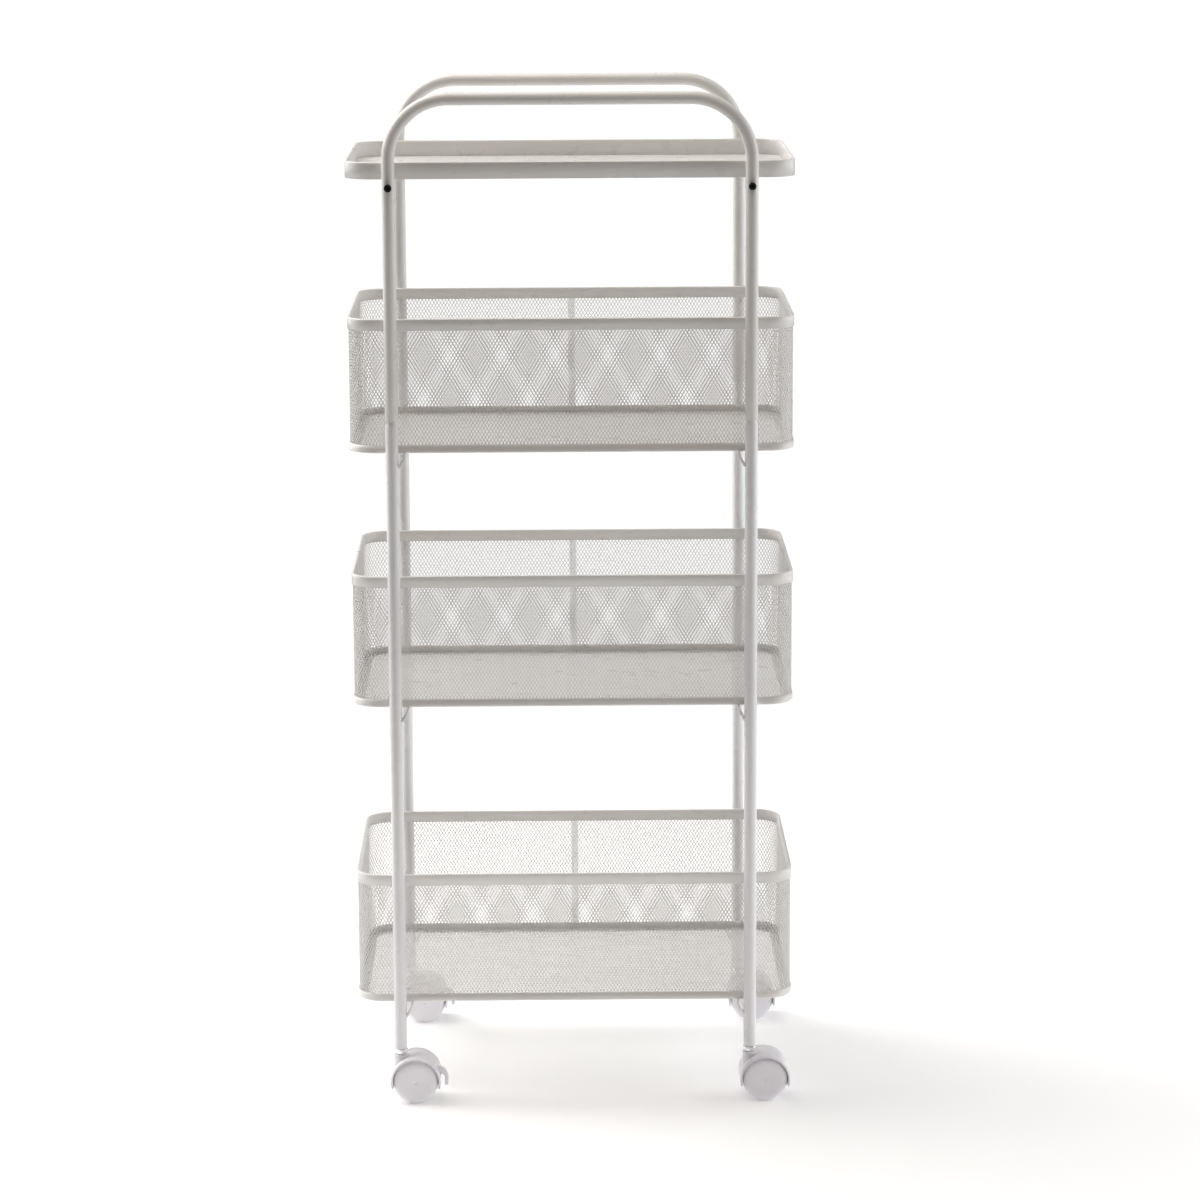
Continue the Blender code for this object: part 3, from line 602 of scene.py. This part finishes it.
def screw(length):
    """Make a socket-head screw along +Y with its head's underside at the origin."""
    bm = bmesh.new()
    flat = Matrix.Rotation(pi / 2, 4, "X")
    bmesh.ops.create_circle(bm, segments=2 * KNURLS, radius=HEAD_D / 2, matrix=flat)
    bmesh.ops.create_circle(bm, segments=6, radius=HEX_R, matrix=flat)
    bmesh.ops.bridge_loops(bm, edges=bm.edges[:])
    bmesh.ops.translate(bm, verts=bm.verts[:], vec=(0, -HEAD_H, 0))
    hexagon = [v for v in bm.verts if v.co.xz.length < HEX_R * 1.1]
    hexagon.sort(key=lambda v: atan2(v.co.z, v.co.x))
    pit = bm.faces.new(hexagon)
    outer = [e for e in bm.edges if all(v.co.xz.length > HEAD_D * 0.45 for v in e.verts)]
    side = bmesh.ops.extrude_edge_only(bm, edges=outer)["geom"]
    verts = [item for item in side if isinstance(item, bmesh.types.BMVert)]
    bmesh.ops.translate(bm, verts=verts, vec=(0, HEAD_H, 0))
    bm.faces.new(sorted(verts, key=lambda v: atan2(v.co.z, v.co.x)))
    bmesh.ops.recalc_face_normals(bm, faces=bm.faces[:])
    push(bm, [pit], (0, HEX_DEPTH, 0))
    for vert in bm.verts:
        if vert.co.xz.length > HEAD_D * 0.45:
            count = round(atan2(vert.co.z, vert.co.x) * KNURLS / pi)
            vert.co.x *= KNURL_DIP if count % 2 else 1.0
            vert.co.z *= KNURL_DIP if count % 2 else 1.0
    bmesh.ops.create_cone(bm, cap_ends=True, segments=24, radius1=SCREW_D / 2, radius2=SCREW_D / 2,
                          depth=length, matrix=Matrix.Translation((0, length / 2, 0)) @ flat)
    return bm


OXIDE = black_oxide()
for end_name, end in END.items():
    for side_name, side in SIDE.items():
        node = f"{end_name}_{side_name}_tray_screw"
        low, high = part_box(node)
        outer_face = low.y if end < 0 else high.y
        bm = screw(high.y - low.y - HEAD_H)
        move(bm, Matrix.Translation(((low.x + high.x) / 2, outer_face - end * HEAD_H, screw_z))
             @ Matrix.Rotation(0 if end < 0 else pi, 4, "Z"))
        add_piece(f"socket_screw_{end_name}_{side_name}", bm, "frame", OXIDE, [node],
                  sharp=30)

# ---------------------------------------------------------------------------------------------
# Baskets: a tub of expanded steel mesh with one overlap seam at the back, a strip folded over its
# mouth and an L-shaped band round its underside, all welded up and coated as one.
# ---------------------------------------------------------------------------------------------
BAND_BEND = 0.0015
BAND_FLANGE = 0.010
MESH_UNDER_RIM = 0.0020
SEAM_COLUMNS = 2


def wrap(bm, width, depth, corner, z, side):
    """Bend a flat sheet round half of a basket, from the middle of its front to the middle of its back."""
    x_flat = width / 2 - corner
    y_flat = depth / 2 - corner
    quarter = corner * pi / 2
    for vert in bm.verts:
        s = vert.co.x
        if s <= x_flat:
            place = (s, -depth / 2)
        elif s <= x_flat + quarter:
            angle = (s - x_flat) / corner
            place = (x_flat + corner * sin(angle), -y_flat - corner * cos(angle))
        elif s <= x_flat + quarter + 2 * y_flat:
            place = (width / 2, s - x_flat - quarter - y_flat)
        elif s <= x_flat + 2 * quarter + 2 * y_flat:
            angle = (s - x_flat - quarter - 2 * y_flat) / corner
            place = (x_flat + corner * cos(angle), y_flat + corner * sin(angle))
        else:
            place = (2 * x_flat + 2 * quarter + 2 * y_flat - s, depth / 2)
        vert.co = (side * place[0], place[1], vert.co.z + z)


for tier in TIERS:
    rim_low, rim_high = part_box(f"{tier}_basket_rim")
    tub_low, tub_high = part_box(f"{tier}_basket_mesh")
    band_low, band_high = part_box(f"{tier}_basket_bottom_band")
    width = rim_high.x - rim_low.x
    depth = rim_high.y - rim_low.y
    bm = bmesh.new()
    hem(bm, folded_path(rim_low.z, rim_high.z, rim_thickness, rim_low.z), width, depth, CORNER_R)
    sheet_piece(f"{tier}_rim_strip", bm, "frame", COAT, STRIP, [f"{tier}_basket_rim"])

    bm = bmesh.new()
    half = STRIP / 2
    turns = [pi / 2 * i / FOLD_STEPS for i in range(FOLD_STEPS + 1)]
    bend = [(half + BAND_BEND * (1 - cos(turn)), band_low.z + half + BAND_BEND * (1 - sin(turn)))
            for turn in turns]
    hem(bm, [(half, band_high.z)] + bend + [(BAND_FLANGE, band_low.z + half)], width, depth, CORNER_R)
    sheet_piece(f"{tier}_band", bm, "frame", COAT, STRIP, [f"{tier}_basket_bottom_band"])

    tub_width = tub_high.x - tub_low.x - MESH_GAUGE
    tub_depth = tub_high.y - tub_low.y - MESH_GAUGE
    tub_corner = CORNER_R - edge_gap - MESH_GAUGE / 2
    around = tub_width + tub_depth - (4 - pi) * tub_corner
    wall_height = rim_low.z + MESH_UNDER_RIM - tub_low.z
    for side_name, side in SIDE.items():
        bm = expanded_sheet(around, wall_height)
        wrap(bm, tub_width, tub_depth, tub_corner, tub_low.z, side)
        piece = sheet_piece(f"{tier}_mesh_wall_{side_name}", bm, "frame", COAT, MESH_GAUGE)
        if side > 0:
            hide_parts(f"{tier}_basket_mesh")
        mesh_floor(f"{tier}_mesh_floor_{side_name}", (tub_low, tub_high), tub_low.z + MESH_GAUGE / 2,
                   CORNER_R - edge_gap, side)
    seam = SEAM_COLUMNS * MESH_CELL_W
    bm = expanded_sheet(seam, wall_height)
    move(bm, Matrix.Translation((MESH_CELL_W / 2 - seam / 2, tub_depth / 2 - MESH_GAUGE, tub_low.z)))
    sheet_piece(f"{tier}_mesh_seam", bm, "frame", COAT, MESH_GAUGE)

# ---------------------------------------------------------------------------------------------
# Caster stems: turned steel, bright plated. The collar shows between the post's foot and the hood;
# the spigots above and below it are hidden in the socket and the hood.
# ---------------------------------------------------------------------------------------------
STEM_SIDES = 48
COLLAR_FLANGE = 0.0018
COLLAR_NECK_R = 0.0048
STEM_R = 0.0037
COLLAR_FOOT = 0.0058


def bright_plating():
    """Bright chrome over turned steel, with a faint haze and hairline polishing marks."""
    material, tree, shader, where = new_finish("bright_chrome")
    haze = spread(tree, noise(tree, 300.0, 3.0, where), 0.0, 1.0)
    tone = blend_colour(tree, haze, (0.86, 0.86, 0.88), (0.93, 0.93, 0.94))
    tree.links.new(tone, shader.inputs["Base Color"])
    shader.inputs["Metallic"].default_value = 1.0
    tree.links.new(spread(tree, noise(tree, 900.0, 4.0, where), 0.05, 0.14), shader.inputs["Roughness"])
    emboss(tree, shader, noise(tree, 5000.0, 1.0, where), 0.08, 0.00001)
    return material


CORNERS = [(end_name, side_name) for end_name in END for side_name in SIDE]
CHROME = bright_plating()
for end_name, side_name in CORNERS:
    node = f"{end_name}_{side_name}_caster_stem"
    low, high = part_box(node)
    foot_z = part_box(f"{end_name}_{side_name}_lower_post")[0].z
    radius = (high.x - low.x) / 2
    top = foot_z - NECK_FIT
    neck_foot = foot_z - COLLAR_FOOT
    bm = lathe(((0, low.z, 0), (STEM_R, low.z, 0.0006), (STEM_R, neck_foot, 0),
                (COLLAR_NECK_R, neck_foot, 0.0003), (COLLAR_NECK_R, top - COLLAR_FLANGE, 0.0010),
                (radius, top - COLLAR_FLANGE, 0.0007), (radius, top, 0.0007), (STEM_R, top, 0),
                (STEM_R, high.z, 0.0006), (0, high.z, 0)), STEM_SIDES)
    move(bm, Matrix.Translation(((low.x + high.x) / 2, (low.y + high.y) / 2, 0)))
    add_piece(f"plated_stem_{end_name}_{side_name}", bm, "frame", CHROME, [node], sharp=50)

# ---------------------------------------------------------------------------------------------
# Caster hoods and wheels: moulded in a cool white plastic. The hood has a lipped fender over each
# wheel, a body between them and a boss for the stem; two hoods have a slot for a brake lever.
# ---------------------------------------------------------------------------------------------
WHEEL_GAP = 0.0006
FENDER_WALL = 0.0014
FENDER_LIP = 0.0008
LIP_WIDTH = 0.0042
FENDER_START = radians(-15)
FENDER_END = radians(195)
FENDER_STEPS = 60
BODY_W = 0.0125
BOSS_R = 0.0072
SLOT_GAP = 0.0006
BAY_SIDES = 120
WHEEL_SIDES = 72
HUB_R = 0.0050
HUB_RECESS = 0.0020
GATE_R = 0.0012
GATE_DEPTH = 0.0005


def cool_plastic(name, roughness, deep, pale, tread=False):
    """Moulded cool white plastic: even colour, fine spark texture and a little dust where it rolls."""
    material, tree, shader, where = new_finish(name)
    cloud = spread(tree, noise(tree, 40.0, 2.0, where), 0.0, 1.0)
    tone = blend_colour(tree, cloud, deep, pale)
    scuffs = spread(tree, noise(tree, 260.0, 5.0, where, distortion=1.5), 0.0, 0.16, 0.58, 0.78)
    if tread:
        rolled = tree.nodes.new("ShaderNodeAttribute")
        rolled.attribute_name = "tread"
        dust = spread(tree, noise(tree, 420.0, 5.0, where, distortion=0.8), 0.05, 0.55, 0.35, 0.70)
        worn = tree.nodes.new("ShaderNodeMath")
        worn.operation = "MULTIPLY_ADD"
        tree.links.new(rolled.outputs["Fac"], worn.inputs[0])
        tree.links.new(dust, worn.inputs[1])
        tree.links.new(scuffs, worn.inputs[2])
        scuffs = worn.outputs["Value"]
    tree.links.new(blend_colour(tree, scuffs, tone, (0.52, 0.50, 0.49)), shader.inputs["Base Color"])
    rough = spread(tree, noise(tree, 120.0, 4.0, where), roughness, roughness + 0.10)
    tree.links.new(rough, shader.inputs["Roughness"])
    emboss(tree, shader, noise(tree, 2600.0, 2.0, where), 0.22, 0.00003)
    shader.inputs["Subsurface Weight"].default_value = 0.08
    shader.inputs["Subsurface Radius"].default_value = (0.002, 0.002, 0.002)
    return material


def combine(base, tool, operation):
    """Join one closed bmesh to another, or cut it away, and return the result."""
    meshes = []
    for shape in (base, tool):
        bmesh.ops.recalc_face_normals(shape, faces=shape.faces[:])
        mesh = bpy.data.meshes.new("step")
        shape.to_mesh(mesh)
        shape.free()
        meshes.append(mesh)
    objects = [bpy.data.objects.new("step", mesh) for mesh in meshes]
    for item in objects:
        bpy.context.scene.collection.objects.link(item)
    step = objects[0].modifiers.new("step", "BOOLEAN")
    step.operation = operation
    step.solver = "EXACT"
    step.object = objects[1]
    graph = bpy.context.evaluated_depsgraph_get()
    result = bmesh.new()
    result.from_mesh(bpy.data.meshes.new_from_object(objects[0].evaluated_get(graph)))
    for item in objects:
        bpy.data.objects.remove(item)
    return result


def hood(wheel_r, half_width, trail, boss_top, slot):
    """Make a hood about its axle: X runs back from the stem, Y along the axle, Z up."""
    inner = wheel_r + WHEEL_GAP
    outer = inner + FENDER_WALL
    lip = outer + FENDER_LIP
    inside = half_width - LIP_WIDTH
    start = Matrix.Rotation(-FENDER_START, 3, "Y")
    bm = bmesh.new()
    section = ((inner, -half_width, 0.0004), (lip, -half_width, 0.0013), (lip, -inside, 0.0015),
               (outer, -inside + 2 * FENDER_LIP, 0.0015), (outer, inside - 2 * FENDER_LIP, 0.0015),
               (lip, inside, 0.0015), (lip, half_width, 0.0013), (inner, half_width, 0.0004))
    faces = outline_face(bm, section, lambda r, y: start @ Vector((r, y, 0)))
    faces = swing(bm, faces, (0, 0, 0), (0, -1, 0), FENDER_END - FENDER_START, FENDER_STEPS)
    body = bmesh.new()
    sweep = FENDER_END - FENDER_START
    middle = (inner + outer) / 2
    arc = [FENDER_START + sweep * i / FENDER_STEPS for i in range(FENDER_STEPS + 1)]
    face = body.faces.new([body.verts.new((middle * cos(a), -BODY_W / 2, middle * sin(a))) for a in arc])
    push(body, [face], (0, BODY_W, 0))
    bm = combine(bm, body, "UNION")
    boss = lathe(((0, 0, 0), (BOSS_R, 0, 0), (BOSS_R, boss_top, 0.0007), (0, boss_top, 0)), 48)
    move(boss, Matrix.Translation((-trail, 0, 0)))
    for way in (-1, 1):
        bay = bmesh.new()
        bmesh.ops.create_cone(bay, cap_ends=True, segments=BAY_SIDES, radius1=middle, radius2=middle,
                              depth=BOSS_R * 2)
        move(bay, Matrix.Translation((0, way * (BODY_W / 2 + BOSS_R), 0)) @ Matrix.Rotation(pi / 2, 4, "X"))
        boss = combine(boss, bay, "DIFFERENCE")
    bm = combine(bm, boss, "UNION")
    bore = lathe(((0, boss_top / 2, 0), (STEM_R + NECK_FIT, boss_top / 2, 0),
                  (STEM_R + NECK_FIT, 2 * boss_top, 0), (0, 2 * boss_top, 0)), 48)
    move(bore, Matrix.Translation((-trail, 0, 0)))
    bm = combine(bm, bore, "DIFFERENCE")
    if slot:
        cut = bmesh.new()
        low, high = slot
        bmesh.ops.create_cube(cut, size=1.0)
        move(cut, Matrix.Translation((low + high) / 2) @ Matrix.Diagonal((*(high - low), 1)))
        bm = combine(bm, cut, "DIFFERENCE")
    return bm


def wheel(radius, width):
    """Turn a wheel round Y: a plain, faintly domed disc outside, with a gate mark in its middle."""
    bm = lathe(((0, HUB_RECESS, 0), (HUB_R, HUB_RECESS, 0.0003), (HUB_R, 0, 0.0003),
                (radius - 0.0030, 0, 0.0010), (radius, 0.0018, 0.0010), (radius, width - 0.0027, 0.0030),
                (radius - 0.0045, width - 0.0002, 0.0040), (GATE_R + 0.0004, width, 0.0003),
                (GATE_R, width - GATE_DEPTH, 0.0002), (0, width - GATE_DEPTH, 0)), WHEEL_SIDES)
    tread = bm.verts.layers.float.new("tread")
    for vert in bm.verts:
        out = hypot(vert.co.x, vert.co.y)
        vert[tread] = min(max((out - radius + 0.0012) / 0.0010, 0), 1)
    return bm


HOOD_PLASTIC = cool_plastic("cool_white_hood", 0.32, (0.845, 0.828, 0.878), (0.868, 0.850, 0.897))
# The wheels' paler base colour is partly their own white plastic and partly painted light: it is raised to
# brighten them in place of floor-bounce light the lamps don't give.
WHEEL_PLASTIC_WITH_PAINTED_LIGHT = cool_plastic("cool_white_wheel_painted_light", 0.36, (0.910, 0.890, 0.945), (0.930, 0.910, 0.960),
                             tread=True)
for end_name, side_name in CORNERS:
    corner = f"{end_name}_{side_name}"
    body = f"{corner}_swivel"
    node = f"{corner}_caster_hood"
    low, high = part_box(node)
    wheel_low, wheel_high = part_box(f"{corner}_wheel_a")
    stem_low, stem_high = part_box(f"{corner}_caster_stem")
    radius = (wheel_high.z - wheel_low.z) / 2
    axle = Vector(((wheel_low.x + wheel_high.x) / 2, (low.y + high.y) / 2, radius))
    trail = axle.x - (stem_low.x + stem_high.x) / 2
    slot = None
    lever_node = f"{corner}_brake_lever"
    if lever_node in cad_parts:
        lever_low, lever_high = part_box(lever_node)
        grow = Vector((SLOT_GAP, SLOT_GAP, SLOT_GAP))
        slot = (Vector((lever_low.x, lever_low.y, axle.z - 2 * radius)) - axle - grow,
                Vector((lever_high.x + radius, lever_high.y, lever_high.z)) - axle + grow)
    boss_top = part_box(f"{corner}_lower_post")[0].z - COLLAR_FOOT - NECK_FIT - axle.z
    bm = hood(radius, (high.y - low.y) / 2, trail, boss_top, slot)
    move(bm, Matrix.Translation(axle))
    add_piece(f"hood_{corner}", bm, body, HOOD_PLASTIC, [node], sharp=35)
    for letter, way in (("a", -1), ("b", 1)):
        node = f"{corner}_wheel_{letter}"
        low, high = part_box(node)
        inner_y = high.y if way < 0 else low.y
        bm = wheel(radius, high.y - low.y)
        move(bm, Matrix.Translation((axle.x, inner_y, axle.z)) @ Matrix.Rotation(-way * pi / 2, 4, "X"))
        add_piece(f"disc_wheel_{corner}_{letter}", bm, node, WHEEL_PLASTIC_WITH_PAINTED_LIGHT, [node],
                  sharp=50)

# ---------------------------------------------------------------------------------------------
# Brake levers: one moulding each, hinged on a steel pin in the hood. The pedal hangs down behind
# the fender, where a toe can press it.
# ---------------------------------------------------------------------------------------------
LEVER_HUB_R = 0.0032
LEVER_REACH = 0.0140
LEVER_FALL = 0.0160
LEVER_ARM = 0.0036
LEVER_EDGE = 0.0006

for end_name, side_name in CORNERS:
    node = f"{end_name}_{side_name}_brake_lever"
    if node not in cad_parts:
        continue
    low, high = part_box(node)
    pin_low, pin_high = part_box(f"{end_name}_{side_name}_brake_pin")
    pin = (pin_low + pin_high) / 2
    inner = LEVER_REACH - LEVER_ARM
    outline = ((-LEVER_HUB_R, -LEVER_HUB_R, 0.0028), (-LEVER_HUB_R, LEVER_HUB_R, 0.0028),
               (LEVER_REACH * 0.55, LEVER_HUB_R, 0.0040), (LEVER_REACH, -LEVER_HUB_R, 0.0050),
               (LEVER_REACH, -LEVER_FALL, 0.0010), (inner, -LEVER_FALL, 0.0010),
               (inner, -LEVER_HUB_R * 1.9, 0.0020), (LEVER_REACH * 0.42, -LEVER_HUB_R, 0.0015))
    bm = bmesh.new()
    faces = outline_face(bm, outline, lambda x, z: (pin.x + x, low.y, pin.z + z))
    push(bm, faces, (0, high.y - low.y, 0))
    bmesh.ops.recalc_face_normals(bm, faces=bm.faces[:])
    soften(bm, [e for e in bm.edges if e.is_manifold and e.calc_face_angle(0) > 1.3], LEVER_EDGE, 3)
    add_piece(f"brake_pedal_{end_name}_{side_name}", bm, node, HOOD_PLASTIC, [node],
              sharp=35)

# ---------------------------------------------------------------------------------------------
# Hidden steel and sockets: the axles, brake pins and stem sockets keep their plain turned shapes.
# ---------------------------------------------------------------------------------------------


def turned_steel():
    """Plain turned steel with fine tool marks along Y."""
    material, tree, shader, where = new_finish("turned_steel")
    mark = tree.nodes.new("ShaderNodeTexWave")
    mark.bands_direction = "Y"
    mark.inputs["Scale"].default_value = 900.0
    mark.inputs["Distortion"].default_value = 0.6
    tree.links.new(where, mark.inputs["Vector"])
    patch = spread(tree, noise(tree, 500.0, 2.0, where), 0.0, 1.0)
    tone = blend_colour(tree, patch, (0.55, 0.55, 0.56), (0.68, 0.68, 0.69))
    tree.links.new(tone, shader.inputs["Base Color"])
    shader.inputs["Metallic"].default_value = 1.0
    tree.links.new(spread(tree, mark.outputs["Fac"], 0.22, 0.36), shader.inputs["Roughness"])
    emboss(tree, shader, mark.outputs["Fac"], 0.15, 0.00002)
    return material


STEEL = turned_steel()
SOCKET_PLASTIC = cool_plastic("socket_plastic", 0.45, (0.82, 0.81, 0.82), (0.85, 0.84, 0.85))
for name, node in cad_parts.items():
    if name.endswith(("caster_axle", "brake_pin")):
        node.data.materials.clear()
        node.data.materials.append(STEEL)
    if name.endswith("stem_socket"):
        node.data.materials.clear()
        node.data.materials.append(SOCKET_PLASTIC)
